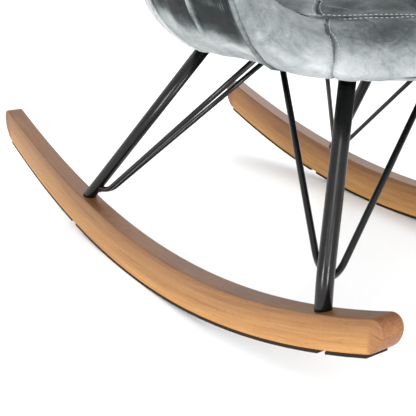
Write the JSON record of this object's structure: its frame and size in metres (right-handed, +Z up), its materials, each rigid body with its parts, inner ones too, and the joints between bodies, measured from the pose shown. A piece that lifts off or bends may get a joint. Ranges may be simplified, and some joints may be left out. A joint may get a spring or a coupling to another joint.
{
  "type": "rocking chair",
  "caption": "Rocking chair with a velvet patchwork bucket seat on black steel legs, crossed brace wires and curved wood rockers with felt grip strips.",
  "frame": {"origin": "on the floor under the middle of the chair's bounding box", "axes": "+Z up, the chair faces -Y, +X towards the viewer's right when the chair is seen from the front"},
  "size_m": [0.5648, 0.8186, 0.9314],
  "materials": {
    "beech": "clear satin lacquer on laminated beech",
    "felt": "dense felt",
    "black_steel": "satin black powder coat",
    "zinc_steel": "zinc plated",
    "brass_insert": "plain",
    "rubber_spacer": "matt",
    "moulded_shell": "moulded",
    "foam": "open-cell padding",
    "velvet": "silver-grey velvet with a strong sheen",
    "velvet_piping": "velvet over cord",
    "dust_lining": "non-woven lining"
  },
  "bodies": {
    "root": {"brace_wire_front_left_cross": "black_steel", "brace_wire_front_left_side": "black_steel", "brace_wire_front_right_cross": "black_steel", "brace_wire_front_right_side": "black_steel", "brace_wire_rear_left_cross": "black_steel", "brace_wire_rear_left_side": "black_steel", "brace_wire_rear_right_cross": "black_steel", "brace_wire_rear_right_side": "black_steel", "dust_cover": "dust_lining", "grip_strip_front_left": "felt", "grip_strip_front_right": "felt", "grip_strip_middle_left": "felt", "grip_strip_middle_right": "felt", "grip_strip_rear_left": "felt", "grip_strip_rear_right": "felt", "leg_bolt_front_left": "zinc_steel", "leg_bolt_front_right": "zinc_steel", "leg_bolt_rear_left": "zinc_steel", "leg_bolt_rear_right": "zinc_steel", "leg_tube_front_left": "black_steel", "leg_tube_front_right": "black_steel", "leg_tube_rear_left": "black_steel", "leg_tube_rear_right": "black_steel", "outer_cover": "velvet", "patch_arm_left": "velvet", "patch_arm_right": "velvet", "patch_back_high_left": "velvet", "patch_back_high_right": "velvet", "patch_back_low_left": "velvet", "patch_back_low_right": "velvet", "patch_lip_corner_left": "velvet", "patch_lip_corner_right": "velvet", "patch_lip_left": "velvet", "patch_lip_right": "velvet", "patch_seat_front_left": "velvet", "patch_seat_front_right": "velvet", "patch_seat_rear_left": "velvet", "patch_seat_rear_right": "velvet", "patch_wing_left": "velvet", "patch_wing_right": "velvet", "rim_piping": "velvet_piping", "rocker_left": "beech", "rocker_right": "beech", "seat_bolt_front_left": "zinc_steel", "seat_bolt_front_right": "zinc_steel", "seat_bolt_rear_left": "zinc_steel", "seat_bolt_rear_right": "zinc_steel", "seat_foam": "foam", "seat_frame": "black_steel", "seat_shell": "moulded_shell", "seat_spacer_front_left": "rubber_spacer", "seat_spacer_front_right": "rubber_spacer", "seat_spacer_rear_left": "rubber_spacer", "seat_spacer_rear_right": "rubber_spacer", "shell_insert_front_left": "brass_insert", "shell_insert_front_right": "brass_insert", "shell_insert_rear_left": "brass_insert", "shell_insert_rear_right": "brass_insert"}
  },
  "joints": []
}
